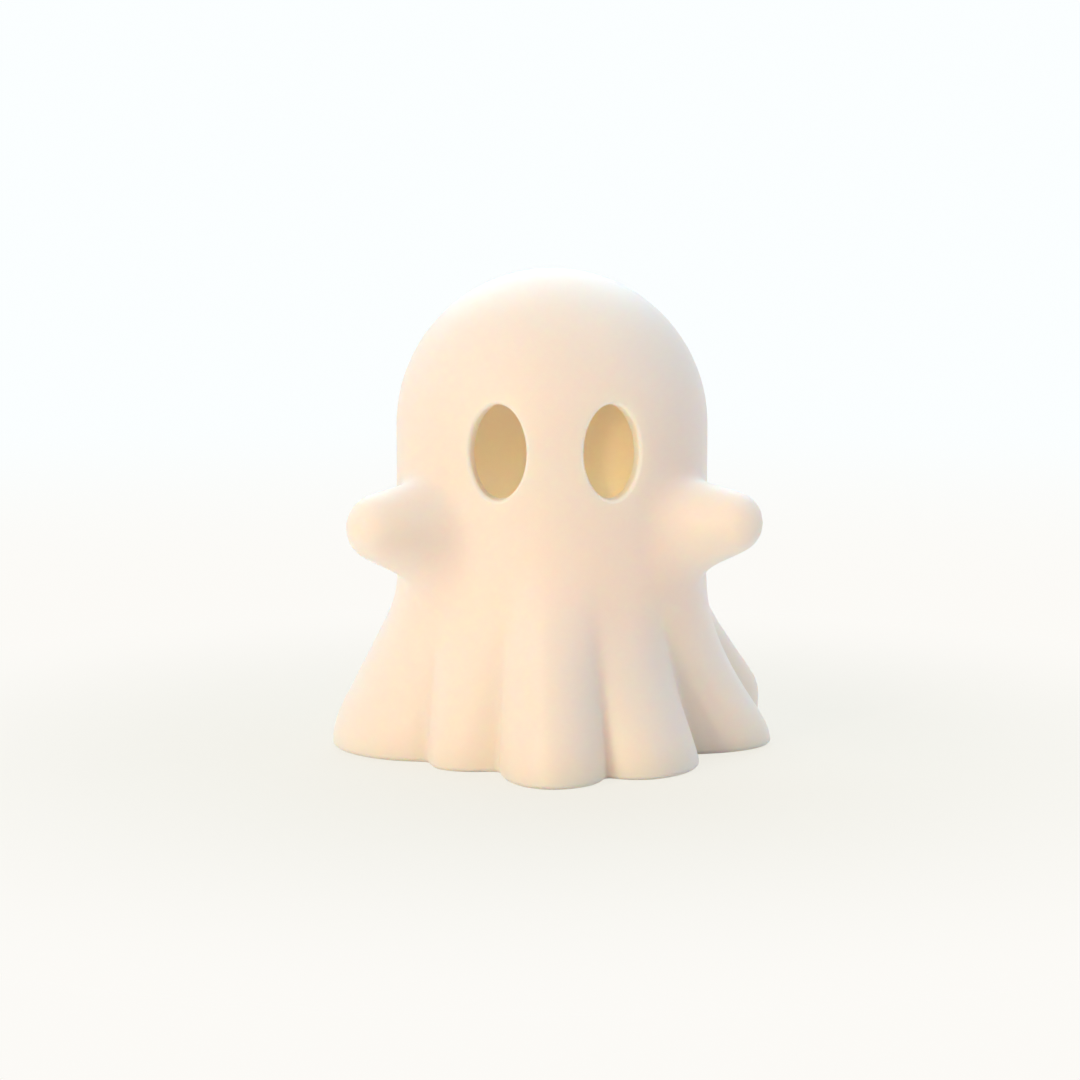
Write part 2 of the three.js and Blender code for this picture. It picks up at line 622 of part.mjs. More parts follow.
// The lid turns on a pin moulded along its edge, and a finger hollow opposite lifts it.
function batteryDoor() {
  const disc = turned([
    [0, BASE_RECESS],
    [DOOR_RADIUS - DOOR_CHAMFER, BASE_RECESS],
    [DOOR_RADIUS, BASE_RECESS + DOOR_CHAMFER],
    [DOOR_RADIUS, DOOR_TOP],
    [0, DOOR_TOP],
  ], CELL_FACETS).translate(0, CELL_CENTRE_Y, 0);
  const tab = block(
    [-DOOR_TAB_WIDTH / 2, CELL_CENTRE_Y + DOOR_RADIUS / 2, BASE_RECESS],
    [DOOR_TAB_WIDTH / 2, HINGE_Y, DOOR_TOP]);
  const hollowFacets = 20;
  const hollow = new THREE.SphereGeometry(FINGER_RADIUS, hollowFacets, hollowFacets).rotateX(Math.PI / 2)
    .translate(0, CELL_CENTRE_Y - DOOR_RADIUS + FINGER_INSET, BASE_RECESS - FINGER_RADIUS + FINGER_DEPTH);
  return join(disc, tab, hingeBar(HINGE_RADIUS, HINGE_LENGTH)).subtract(solidOf(hollow));
}

function coinCell() {
  const capZ = CELL_TOP - CELL_STEP;
  return solidOf(turned([
    [0, CELL_BOTTOM],
    [CELL_RADIUS - CELL_EDGE, CELL_BOTTOM],
    [CELL_RADIUS, CELL_BOTTOM + CELL_EDGE],
    [CELL_RADIUS, capZ - CELL_EDGE],
    [CELL_RADIUS - CELL_EDGE, capZ],
    [CELL_CAP_RADIUS + CELL_EDGE, capZ],
    [CELL_CAP_RADIUS, CELL_TOP],
    [0, CELL_TOP],
  ], CELL_FACETS).translate(0, CELL_CENTRE_Y, 0));
}

// Contacts, wiper and leads

const BLADE_SHELF_Z = WELL_TOP + SHELF_RISE;
const STRIP_Z = WELL_TOP + GAP;

// A blade stands beside the cell and folds outward into a shelf, which has one finger over
// the on side of the switch.
function positiveContact() {
  const outer = BLADE_Y - CONTACT_THICKNESS;
  const rootEnd = outer - CONTACT_WIDTH / 3;
  const top = BLADE_SHELF_Z + CONTACT_THICKNESS;
  const blade = block([-CONTACT_WIDTH / 2, outer, SEAT_Z + 2 * GAP], [CONTACT_WIDTH / 2, BLADE_Y, top]);
  const root = block([-CONTACT_WIDTH / 2, rootEnd, BLADE_SHELF_Z], [SHELF_END_X, BLADE_Y, top]);
  const finger = block([SHELF_START_X, SWITCH_Y - KNOB_WIDTH / 2, BLADE_SHELF_Z], [SHELF_END_X, BLADE_Y, top]);
  return join(blade, root, finger);
}

// A strip lies on the well's rim at the back and dips to press on the cell's cap.
function negativeContact() {
  const back = CELL_CENTRE_Y + WELL_RADIUS + WELL_WALL / 2;
  const touch = CELL_TOP + GAP;
  const dip = [
    [back, STRIP_Z],
    [back - STRIP_FOOT, STRIP_Z],
    [CELL_CENTRE_Y + STRIP_TOUCH / 2, touch],
    [CELL_CENTRE_Y - STRIP_TOUCH / 2, touch],
    [CELL_CENTRE_Y - CELL_RADIUS / 2, touch + STRIP_TIP_RISE],
  ];
  const above = dip.map(([y, z]) => [y, z + CONTACT_THICKNESS]).reverse();
  return solidOf(strip([...dip, ...above], CONTACT_WIDTH, 0));
}

const SWITCH_OFF_X = -SWITCH_TRAVEL / 2;

function switchSlider() {
  const plate = block(
    [SWITCH_OFF_X - SLIDER_LENGTH / 2, SWITCH_Y - SLIDER_WIDTH / 2, SLIDER_BOTTOM],
    [SWITCH_OFF_X + SLIDER_LENGTH / 2, SWITCH_Y + SLIDER_WIDTH / 2, SLIDER_TOP]);
  const knob = block(
    [SWITCH_OFF_X - KNOB_LENGTH / 2, SWITCH_Y - KNOB_WIDTH / 2, BASE_RECESS - KNOB_DROP],
    [SWITCH_OFF_X + KNOB_LENGTH / 2, SWITCH_Y + KNOB_WIDTH / 2, SLIDER_BOTTOM + SLIDER_THICKNESS / 2]);
  let solid = join(plate, knob);
  const grooves = 3;
  const grooveWidth = KNOB_LENGTH / (2 * grooves + 1);
  for (let i = 0; i < grooves; i += 1) {
    const left = SWITCH_OFF_X - KNOB_LENGTH / 2 + grooveWidth * (2 * i + 1);
    solid = solid.subtract(solidOf(block(
      [left, SWITCH_Y - KNOB_WIDTH, BASE_RECESS - KNOB_DROP - 1],
      [left + grooveWidth, SWITCH_Y + KNOB_WIDTH, BASE_RECESS - KNOB_DROP / 2])));
  }
  return solid;
}

// The wiper lies on the slider. Its long leg always slides under the lamp's wire, and its
// crest rises to the shelf's finger when the switch is on.
const WIPER_LOW_Z = SLIDER_TOP + GAP;
const WIPER_CREST_X = mix(SHELF_START_X, SHELF_END_X, 0.3) - SWITCH_TRAVEL;

function switchWiper() {
  const width = SLIDER_WIDTH - 2 * RAIL_WALL - 2 * GAP;
  const half = SLIDER_LENGTH / 2 - 2 * GAP;
  const crestHalf = WIPER_CREST_LENGTH / 2;
  const crestZ = BLADE_SHELF_Z - GAP - CONTACT_THICKNESS;
  const shoulderZ = mix(WIPER_LOW_Z, crestZ, 0.85);
  const crestSteps = 10;
  const crest = new THREE.SplineCurve([
    new THREE.Vector2(WIPER_CREST_X - crestHalf, WIPER_LOW_Z),
    new THREE.Vector2(WIPER_CREST_X - crestHalf / 3, shoulderZ),
    new THREE.Vector2(WIPER_CREST_X, crestZ),
    new THREE.Vector2(WIPER_CREST_X + crestHalf / 3, shoulderZ),
    new THREE.Vector2(WIPER_CREST_X + crestHalf, WIPER_LOW_Z),
  ]).getPoints(crestSteps);
  const line = [
    new THREE.Vector2(SWITCH_OFF_X - half, WIPER_LOW_Z),
    ...crest,
    new THREE.Vector2(SWITCH_OFF_X + half, WIPER_LOW_Z),
  ];
  const above = line.map((point) => new THREE.Vector2(point.x, point.y + CONTACT_THICKNESS)).reverse();
  const shape = new THREE.Shape([...line, ...above]);
  const geometry = new THREE.ExtrudeGeometry(shape, { depth: width, bevelEnabled: false });
  return solidOf(geometry.rotateX(Math.PI / 2).translate(0, SWITCH_Y + width / 2, 0));
}

// A wire of eight sides along a smooth line.
function lead(points) {
  const sides = 8;
  const steps = 14;
  const section = new THREE.Shape(Array.from({ length: sides }, (_, i) => {
    const angle = (i / sides) * 2 * Math.PI;
    return new THREE.Vector2(LEAD_RADIUS * Math.cos(angle), LEAD_RADIUS * Math.sin(angle));
  }));
  const path = new THREE.CatmullRomCurve3(points.map((point) => new THREE.Vector3(...point)));
  return solidOf(new THREE.ExtrudeGeometry(section, { steps, bevelEnabled: false, extrudePath: path }));
}

function cathodeLead() {
  const x = LEAD_SPACING / 2;
  const foot = STRIP_Z + CONTACT_THICKNESS + GAP + LEAD_RADIUS;
  const top = LED_BOTTOM - GAP;
  const footY = CELL_CENTRE_Y;
  return lead([
    [x, 0, top],
    [x, footY * 0.04, mix(foot, top, 0.6)],
    [x, footY / 3, mix(foot, top, 0.2)],
    [x, footY, foot],
  ]);
}

function anodeLead() {
  const x = -LEAD_SPACING / 2;
  const foot = WIPER_LOW_Z + CONTACT_THICKNESS + GAP + LEAD_RADIUS;
  const top = LED_BOTTOM - GAP;
  const footX = SWITCH_OFF_X - SWITCH_TRAVEL / 2 - GAP;
  return lead([
    [x, 0, top],
    [mix(x, footX, 0.2), SWITCH_Y * 0.16, mix(foot, top, 0.83)],
    [mix(x, footX, 0.7), mix(BLADE_Y, SWITCH_Y, 0.4), mix(foot, top, 0.63)],
    [footX, SWITCH_Y * 0.95, mix(foot, top, 0.4)],
    [footX, SWITCH_Y, foot],
  ]);
}

// Finishes
const PRINTED_PLASTIC = { color: 0xf6e9d8, roughness: 0.62, metalness: 0 };
const CUP_PLASTIC = { color: 0xf4f1ea, roughness: 0.4, metalness: 0 };
const FLAME_PLASTIC = { color: 0xffe2a8, roughness: 0.35, metalness: 0 };
const LENS = { color: 0xf3dfae, roughness: 0.15, metalness: 0 };
const TINNED_WIRE = { color: 0xb9bcc0, roughness: 0.35, metalness: 1 };
const CELL_STEEL = { color: 0xc4c6c9, roughness: 0.28, metalness: 1 };
const SPRING_BRONZE = { color: 0xb98d4f, roughness: 0.35, metalness: 1 };
const SWITCH_PLASTIC = { color: 0x2b2b2d, roughness: 0.5, metalness: 0 };

const group = new THREE.Group();
group.add(meshOf('ghost_shell', ghostShell(), PRINTED_PLASTIC));
group.add(meshOf('tealight_cup', tealightCup(), CUP_PLASTIC));
group.add(meshOf('flame_bulb', flameBulb(), FLAME_PLASTIC));
group.add(meshOf('led', led(), LENS));
group.add(meshOf('anode_lead', anodeLead(), TINNED_WIRE));
group.add(meshOf('cathode_lead', cathodeLead(), TINNED_WIRE));
group.add(meshOf('base_plate', basePlate(), CUP_PLASTIC));
group.add(meshOf('battery_door', batteryDoor(), CUP_PLASTIC));
group.add(meshOf('coin_cell', coinCell(), CELL_STEEL));
group.add(meshOf('positive_contact', positiveContact(), SPRING_BRONZE));
group.add(meshOf('negative_contact', negativeContact(), SPRING_BRONZE));
group.add(meshOf('switch_slider', switchSlider(), SWITCH_PLASTIC));
group.add(meshOf('switch_wiper', switchWiper(), SPRING_BRONZE));

export default group;
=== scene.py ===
import math

import bmesh
import bpy
from mathutils import Matrix, Vector


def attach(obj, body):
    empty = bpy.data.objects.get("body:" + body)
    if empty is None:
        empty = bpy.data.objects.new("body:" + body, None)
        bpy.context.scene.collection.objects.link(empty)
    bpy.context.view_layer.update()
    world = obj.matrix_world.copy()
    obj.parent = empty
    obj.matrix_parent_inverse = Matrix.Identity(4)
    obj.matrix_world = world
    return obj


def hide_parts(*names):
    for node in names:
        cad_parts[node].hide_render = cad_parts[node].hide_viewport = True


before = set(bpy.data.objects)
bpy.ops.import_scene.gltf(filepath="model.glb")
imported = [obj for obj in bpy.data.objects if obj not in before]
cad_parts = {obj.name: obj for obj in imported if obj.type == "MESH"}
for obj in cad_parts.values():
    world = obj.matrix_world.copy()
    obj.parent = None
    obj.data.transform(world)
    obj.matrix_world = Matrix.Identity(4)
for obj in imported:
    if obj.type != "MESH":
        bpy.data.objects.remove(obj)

scene = bpy.context.scene
scene.view_settings.view_transform = "Standard"
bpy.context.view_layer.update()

# Camera
# It stands a forearm's length from the ghost, a little above its head, and looks down on it
# almost straight from the front.
CAMERA_DISTANCE = 0.42
CAMERA_HEIGHT = 0.0874
CAMERA_TURN = math.radians(-1.1)
CAMERA_PITCH = math.radians(7.19)
CAMERA_LENS = 83.8
CAMERA_SENSOR = 36
CAMERA_SHIFT = -12 / 1080
CAMERA_NEAR = 0.01

camera_data = bpy.data.cameras.new("camera")
camera_data.sensor_width = CAMERA_SENSOR
camera_data.lens = CAMERA_LENS
camera_data.shift_x = CAMERA_SHIFT
camera_data.clip_start = CAMERA_NEAR
camera = bpy.data.objects.new("camera", camera_data)
camera.location = (
    CAMERA_DISTANCE * math.sin(CAMERA_TURN),
    -CAMERA_DISTANCE * math.cos(CAMERA_TURN),
    CAMERA_HEIGHT,
)
camera.rotation_euler = (math.pi / 2 - CAMERA_PITCH, 0, CAMERA_TURN)
scene.collection.objects.link(camera)
scene.camera = camera

# Room
# Lamps stand round a pale table: warm ones on the left, of which a small one shines in through
# an eye, and large cool ones above, behind and on the right. The room that the camera sees is
# nearly white; the table has a painted shadow round the ghost, a little darker, and fades into it.
LAMPS = {
    # azimuth from straight in front, height and size in degrees, strength, colour
    "key": (-42, 15, 5, 0.66, (1.0, 0.83, 0.62)),
    "patch": (-28, 7, 3, 0.56, (1.0, 0.73, 0.38)),
    "left": (-65, 40, 40, 0.60, (1.0, 0.92, 0.80)),
    "top": (-20, 65, 60, 0.62, (0.50, 0.74, 1.0)),
    "right": (85, 50, 60, 0.92, (0.68, 0.87, 1.0)),
    "right_edge": (115, 25, 60, 0.25, (0.40, 0.65, 1.0)),
    "left_edge": (-130, 30, 60, 0.38, (0.40, 0.80, 1.0)),
    "back": (180, 45, 60, 1.95, (0.58, 0.82, 1.0)),
}
SKY_COLOR = (1.0, 0.55, 0.45)
SKY_STRENGTH = 0.21
BACKDROP_COLOR = (0.965, 0.995, 1.0)
FLOOR_COLOR = (0.95, 0.95, 0.95)
# A painted shadow: the colour that the camera sees on the floor round the ghost, darker and warmer than
# the open floor, whatever the light.
FLOOR_PAINTED_SHADOW = (0.765, 0.745, 0.675)
FLOOR_OPEN_COLOR = (0.973, 0.958, 0.925)
FLOOR_SHADE = 0.14
FLOOR_REACH = 3.0
FLOOR_SIDES = 64
# Distances from the middle over which the floor's painted shadow fades into the open floor.
FLOOR_PAINTED_SHADOW_FADE = (0.045, 0.15)
ROOM_FADE = (0.16, 0.7)

for name, (azimuth, height, size, strength, color) in LAMPS.items():
    lamp_data = bpy.data.lights.new(name, "SUN")
    lamp_data.energy = strength
    lamp_data.angle = math.radians(size)
    lamp_data.color = color
    lamp = bpy.data.objects.new(name, lamp_data)
    lamp.rotation_euler = (math.pi / 2 - math.radians(height), 0, math.radians(azimuth))
    scene.collection.objects.link(lamp)


def seen_directly(nodes, links):
    """One where the camera, a gloss or a clear piece looks, zero where light only bounces."""
    path = nodes.new("ShaderNodeLightPath")
    total = path.outputs["Is Camera Ray"]
    for name in ("Is Glossy Ray", "Is Transmission Ray"):
        either = nodes.new("ShaderNodeMath")
        either.operation = "MAXIMUM"
        links.new(total, either.inputs[0])
        links.new(path.outputs[name], either.inputs[1])
        total = either.outputs[0]
    return total


def glow_of(nodes, color):
    """A shader that shows one colour, whatever light falls on it."""
    glow = nodes.new("ShaderNodeEmission")
    glow.inputs["Color"].default_value = (*color, 1)
    return glow


world = bpy.data.worlds.new("room")
world.use_nodes = True
scene.world = world
world_nodes, world_links = world.node_tree.nodes, world.node_tree.links
world_nodes.clear()
sky = world_nodes.new("ShaderNodeBackground")
sky.inputs["Color"].default_value = (*SKY_COLOR, 1)
sky.inputs["Strength"].default_value = SKY_STRENGTH
backdrop = world_nodes.new("ShaderNodeBackground")
backdrop.inputs["Color"].default_value = (*BACKDROP_COLOR, 1)
room_mix = world_nodes.new("ShaderNodeMixShader")
world_out = world_nodes.new("ShaderNodeOutputWorld")
world_links.new(seen_directly(world_nodes, world_links), room_mix.inputs[0])
world_links.new(sky.outputs[0], room_mix.inputs[1])
world_links.new(backdrop.outputs[0], room_mix.inputs[2])
world_links.new(room_mix.outputs[0], world_out.inputs[0])

floor_material = bpy.data.materials.new("floor")
floor_material.use_nodes = True
floor_nodes, floor_links = floor_material.node_tree.nodes, floor_material.node_tree.links
floor_nodes.clear()
floor_diffuse = floor_nodes.new("ShaderNodeBsdfDiffuse")
floor_diffuse.inputs["Color"].default_value = (*FLOOR_COLOR, 1)
floor_shade = floor_nodes.new("ShaderNodeBsdfDiffuse")
floor_shade.inputs["Color"].default_value = (FLOOR_SHADE, FLOOR_SHADE, FLOOR_SHADE, 1)
# Near the ghost the floor shows real shade from a faint diffuse layer, added to a darker glow that is a
# painted shadow.
floor_near_painted_shadow = floor_nodes.new("ShaderNodeAddShader")
floor_links.new(floor_shade.outputs[0], floor_near_painted_shadow.inputs[0])
floor_links.new(glow_of(floor_nodes, FLOOR_PAINTED_SHADOW).outputs[0], floor_near_painted_shadow.inputs[1])
floor_place = floor_nodes.new("ShaderNodeTexCoord")
floor_distance = floor_nodes.new("ShaderNodeVectorMath")
floor_distance.operation = "LENGTH"
floor_links.new(floor_place.outputs["Object"], floor_distance.inputs[0])


def fade_out(shader, far_color, reach):
    """Turns the floor's shader into a plain colour between two distances from the middle."""
    fade = floor_nodes.new("ShaderNodeMapRange")
    fade.interpolation_type = "SMOOTHSTEP"
    fade.inputs["From Min"].default_value = reach[0]
    fade.inputs["From Max"].default_value = reach[1]
    floor_links.new(floor_distance.outputs["Value"], fade.inputs["Value"])
    faded = floor_nodes.new("ShaderNodeMixShader")
    floor_links.new(fade.outputs["Result"], faded.inputs[0])
    floor_links.new(shader.outputs[0], faded.inputs[1])
    floor_links.new(glow_of(floor_nodes, far_color).outputs[0], faded.inputs[2])
    return faded


floor_seen = fade_out(fade_out(floor_near_painted_shadow, FLOOR_OPEN_COLOR, FLOOR_PAINTED_SHADOW_FADE), BACKDROP_COLOR, ROOM_FADE)
floor_mix = floor_nodes.new("ShaderNodeMixShader")
floor_out = floor_nodes.new("ShaderNodeOutputMaterial")
floor_links.new(seen_directly(floor_nodes, floor_links), floor_mix.inputs[0])
floor_links.new(floor_diffuse.outputs[0], floor_mix.inputs[1])
floor_links.new(floor_seen.outputs[0], floor_mix.inputs[2])
floor_links.new(floor_mix.outputs[0], floor_out.inputs[0])

floor_mesh = bpy.data.meshes.new("floor")
floor_bm = bmesh.new()
bmesh.ops.create_circle(floor_bm, cap_ends=True, segments=FLOOR_SIDES, radius=FLOOR_REACH)
floor_bm.to_mesh(floor_mesh)
floor_bm.free()
floor_mesh.materials.append(floor_material)
floor = bpy.data.objects.new("floor", floor_mesh)
scene.collection.objects.link(floor)

# Ghost
# The figure is printed in one piece in warm white plastic, with a wall near 3 mm, open below
# and at the eyes. Its sheet hangs in folds that start under the arms and run out to the hem.
BODY_RADIUS = 0.026
WALL = 0.0029
BORE_RADIUS = BODY_RADIUS - WALL
GHOST_HEIGHT = 0.080
HEAD_CENTRE = GHOST_HEIGHT - BODY_RADIUS
HEM_RADIUS = 0.0382
SKIRT_TOP = 0.036
FOLD_SOFTNESS = 0.06
FOLD_SWING = 0.85
SINK_RUN = 0.004
MM = 0.001

# Each fold has a crest and, after it, the groove that parts it from the next one. Azimuths
# are in degrees from the front towards the ghost's left hand, at the hem and at the top, and
# lengths are in millimetres: short is from the crest to HEM_RADIUS, floor from the body out.
FOLDS = [
    dict(crest=(-89, -84), short=1, top=25.5, stand=3.7, bow=1, left=1.1, right=0.8,
         groove=(-51, -45), floor=0.9, sink=0),
    dict(crest=(-38, -36), short=8.5, top=25, stand=3.5, bow=1, left=1.3, right=1.2,
         groove=(-19.5, -17), floor=0.4, sink=0),
    dict(crest=(-1, -2), short=0, top=31, stand=3.5, bow=1, left=0.8, right=0.6,
         groove=(15.2, 13), floor=4, sink=0),
    dict(crest=(29, 23), short=3.3, top=27, stand=3.5, bow=1.3, left=0.6, right=0.85,
         groove=(61.5, 38.6), floor=1.2, sink=1.6),
    dict(crest=(88, 64), short=0.9, top=27.5, stand=3, bow=1.6, left=1, right=1.1,
         groove=(99.5, 88), floor=7, sink=0),
    dict(crest=(109, 101), short=0.3, top=25, stand=8.3, bow=1.1, left=1.1, right=1.2,
         groove=(124, 117), floor=1.6, sink=0),
    dict(crest=(143, 138), short=3.7, top=26, stand=4, bow=1, left=1.1, right=1.2,
         groove=(159, 156), floor=2.2, sink=0),
    dict(crest=(180, 180), short=0, top=29, stand=4, bow=1.1, left=1.1, right=1.1,
         groove=(201, 203), floor=2.8, sink=0),
    dict(crest=(217, 219), short=4.6, top=25, stand=4, bow=1, left=1.2, right=1.1,
         groove=(232, 235), floor=0.6, sink=0),
    dict(crest=(246, 247), short=2, top=27, stand=4, bow=1.1, left=1.2, right=1.1,
         groove=(258, 261), floor=3.5, sink=0),
]


def mix(start, end, share):
    return start + (end - start) * share


def soft_rise(value):
    return FOLD_SOFTNESS * math.log(1 + math.exp(value / FOLD_SOFTNESS))


def flare(z, fold):
    """How far a fold has come out: 0 where it leaves the body, 1 where it stands upright."""
    run = soft_rise((fold["top"] * MM - z) / ((fold["top"] - fold["stand"]) * MM))
    return (run - soft_rise(run - 1)) ** fold["bow"]


def bite(z, fold):
    """How far a groove has bitten into the body, over a short way below its fold's top."""
    run = soft_rise((fold["top"] * MM - z) / SINK_RUN)
    return run - soft_rise(run - 1)


def fold_corners(z):
    """Crests and grooves in turn, as (azimuth, radius, flare), once round the skirt."""
    share = max(0, min(1, z / SKIRT_TOP)) ** FOLD_SWING
    corners = []
    for fold in FOLDS:
        out = flare(z, fold)
        crest = mix(BODY_RADIUS, HEM_RADIUS - fold["short"] * MM, out)
        groove = BODY_RADIUS + (fold["floor"] * out - fold["sink"] * bite(z, fold)) * MM
        corners += [(mix(*fold["crest"], share), crest, out), (mix(*fold["groove"], share), groove, out)]
    return corners + [(corners[0][0] + 360, *corners[0][1:])]


hem_corners = fold_corners(0)


def on_skirt(hem_azimuth, z, corners):
    """The point of the skirt at a height, on the line that meets the hem at an azimuth."""
    start = hem_corners[0][0]
    azimuth = start + (hem_azimuth - start) % 360
    spot = max(i for i in range(len(hem_corners) - 1) if hem_corners[i][0] <= azimuth)
    share = (azimuth - hem_corners[spot][0]) / (hem_corners[spot + 1][0] - hem_corners[spot][0])
    from_crest = spot % 2 == 0
    fold = FOLDS[spot // 2 if from_crest else (spot + 1) // 2 % len(FOLDS)]
    climb = math.sin((1 - share if from_crest else share) * math.pi / 2)
    crest, groove = (spot, spot + 1) if from_crest else (spot + 1, spot)
    rise = climb ** mix(1, fold["right" if from_crest else "left"], math.sqrt(corners[crest][2]))
    radius = mix(corners[groove][1], corners[crest][1], rise)
    here = math.radians(mix(corners[spot][0], corners[spot + 1][0], share))
    return Vector((math.sin(here) * radius, -math.cos(here) * radius, z))


# The body: a turned bullet, closed below the table for now, with the folds drawn out of it.
BODY_COLUMNS = 360
ROW_STEP = 0.0006
DOME_ROWS = 60
UNDER_TABLE = -0.0018
SAME_PLACE = 1e-7


def spin_line(bm, points, axis, steps):
    """Spins a line of points once round an axis through the origin."""
    verts = [bm.verts.new(point) for point in points]
    edges = [bm.edges.new(pair) for pair in zip(verts, verts[1:])]
    bmesh.ops.spin(bm, geom=verts + edges, cent=(0, 0, 0), axis=axis,
                   angle=2 * math.pi, steps=steps, use_merge=True)


def close_holes(bm):
    """Fills each open loop of edges with one face."""
    bmesh.ops.holes_fill(bm, edges=[edge for edge in bm.edges if edge.is_boundary])


ghost_bm = bmesh.new()
straight_rows = round((HEAD_CENTRE - UNDER_TABLE) / ROW_STEP)
side_line = [(BODY_RADIUS, mix(UNDER_TABLE, HEAD_CENTRE, i / straight_rows))
             for i in range(straight_rows)]
side_line += [(BODY_RADIUS * math.cos(i / DOME_ROWS * math.pi / 2),
               HEAD_CENTRE + BODY_RADIUS * math.sin(i / DOME_ROWS * math.pi / 2))
              for i in range(DOME_ROWS)]
side_line.append((0, GHOST_HEIGHT))
spin_line(ghost_bm, [(radius, 0, z) for radius, z in side_line], (0, 0, 1), BODY_COLUMNS)
bmesh.ops.remove_doubles(ghost_bm, verts=ghost_bm.verts, dist=SAME_PLACE)
corners_at = {}
for vert in ghost_bm.verts:
    height = round(vert.co.z, 6)
    if height < SKIRT_TOP:
        if height not in corners_at:
            corners_at[height] = fold_corners(max(0, height))
        azimuth = math.degrees(math.atan2(vert.co.x, -vert.co.y))
        vert.co = on_skirt(azimuth, vert.co.z, corners_at[height])
close_holes(ghost_bm)

# Arms: short stubs with round ends, turned forward of straight out, that sweep into the body.
ARM_TURN = {"right": math.radians(-54), "left": math.radians(57.5)}
ARM_TIP_HEIGHT = {"right": 0.039, "left": 0.0395}
ARM_REACH = {"right": 0.0343, "left": 0.0338}
ARM_TIP_RADIUS = {"right": 0.0057, "left": 0.0053}
ARM_TAPER = {"top": 0.18, "side": 0.3, "below": 0.48}
ARM_SWEEP = {"top": 0.0012, "side": 0.0035, "below": 0.0052}
ARM_SIDES = 72
SWEEP_ROWS = 10
CONE_ROWS = 8
TIP_ROWS = 12
ROOT_DEPTHS = (BODY_RADIUS / 2, WALL / 2)
MEET_TRIES = 8


def arm_line(side, angle):
    """Points on an arm from its root to its tip, on the line that leaves it at an angle."""
    aside, up = math.cos(angle), math.sin(angle)
    lean = "top" if up > 0 else "below"
    taper = mix(ARM_TAPER["side"], ARM_TAPER[lean], up * up)
    sweep = mix(ARM_SWEEP["side"], ARM_SWEEP[lean], up * up)
    slope = math.atan(taper)
    turn = Matrix.Rotation(ARM_TURN[side], 3, "Z")
    reach, tip_radius = ARM_REACH[side], ARM_TIP_RADIUS[side]

    def place(distance, out, rise):
        return turn @ Vector((out, -distance, ARM_TIP_HEIGHT[side] + rise))

    def cone_radius(distance):
        return tip_radius / math.cos(slope) + taper * (reach - distance)

    def on_cone(distance):
        return place(distance, cone_radius(distance) * aside, cone_radius(distance) * up)

    def on_body(around, rise, depth):
        turned = around / BODY_RADIUS
        radius = BODY_RADIUS - depth
        return place(radius * math.cos(turned), radius * math.sin(turned), rise)

    meet = BODY_RADIUS
    for _ in range(MEET_TRIES):
        meet = math.sqrt(BODY_RADIUS ** 2 - (cone_radius(meet) * aside) ** 2)
    around = BODY_RADIUS * math.asin(cone_radius(meet) * aside / BODY_RADIUS)
    rise = cone_radius(meet) * up
    grow = 1 + sweep / math.hypot(around, rise)
    foot, bend, end = on_body(around * grow, rise * grow, 0), on_cone(meet), on_cone(meet + sweep)
    points = [on_body(around * grow, rise * grow, depth) for depth in ROOT_DEPTHS]
    for i in range(SWEEP_ROWS + 1):
        share = i / SWEEP_ROWS
        points.append(foot.lerp(bend, share).lerp(bend.lerp(end, share), share))
    cone_end = reach + tip_radius * math.sin(slope)
    for i in range(1, CONE_ROWS):
        points.append(on_cone(mix(meet + sweep, cone_end, i / CONE_ROWS)))
    for i in range(TIP_ROWS + 1):
        curl = mix(slope, math.pi / 2, i / TIP_ROWS)
        radius = tip_radius * math.cos(curl)
        distance = reach + tip_radius * math.sin(curl)
        points.append(place(distance, radius * aside, radius * up))
    return points


def add_arm(bm, side):
    """A spun tube of unit radius with a row a millimetre apart, moved onto the arm's lines."""
    before = set(bm.verts)
    rows = len(arm_line(side, 0))
    spin_line(bm, [(row, 1, 0) for row in range(rows)], (1, 0, 0), ARM_SIDES)
    tube = [vert for vert in bm.verts if vert not in before]
    lines = {}
    for vert in tube:
        angle = round(math.atan2(vert.co.z, vert.co.y) * ARM_SIDES / (2 * math.pi)) % ARM_SIDES
        if angle not in lines:
            lines[angle] = arm_line(side, angle * 2 * math.pi / ARM_SIDES)
        vert.co = lines[angle][round(vert.co.x)]
    bmesh.ops.remove_doubles(bm, verts=tube, dist=SAME_PLACE)
    close_holes(bm)


for arm_side in ("right", "left"):
    add_arm(ghost_bm, arm_side)
bmesh.ops.recalc_face_normals(ghost_bm, faces=ghost_bm.faces)

# Body and arms become one even skin, which is then rubbed smooth, most of all where the arms
# grow out of the body.
SKIN_STEP = 0.00052
SKIN_RUBS = 8
RUB_STRENGTH = 0.5
ROOT_RUBS = 30
ROOT_REACH = 0.0145
ROOT_CORE = ROOT_REACH * 0.6


def link_mesh(name, bm):
    """Links a bmesh as a new object and frees it."""
    mesh = bpy.data.meshes.new(name)
    bm.to_mesh(mesh)
    bm.free()
    piece = bpy.data.objects.new(name, mesh)
    scene.collection.objects.link(piece)
    return piece


def bake_modifiers(piece):
    """Applies a piece's modifiers to its mesh."""
    bpy.context.view_layer.update()
    shaped = piece.evaluated_get(bpy.context.evaluated_depsgraph_get())
    mesh = bpy.data.meshes.new_from_object(shaped)
    piece.modifiers.clear()
    piece.data = mesh
    return piece


ghost = link_mesh("ghost_print", ghost_bm)
skin = ghost.modifiers.new("skin", "REMESH")
skin.mode = "VOXEL"
skin.voxel_size = SKIN_STEP
bake_modifiers(ghost)

ghost_bm = bmesh.new()
ghost_bm.from_mesh(ghost.data)


def rub(verts):
    """Moves points of the ghost's skin towards the middle of those round them."""
    bmesh.ops.smooth_vert(ghost_bm, verts=verts, factor=RUB_STRENGTH,
                          use_axis_x=True, use_axis_y=True, use_axis_z=True)


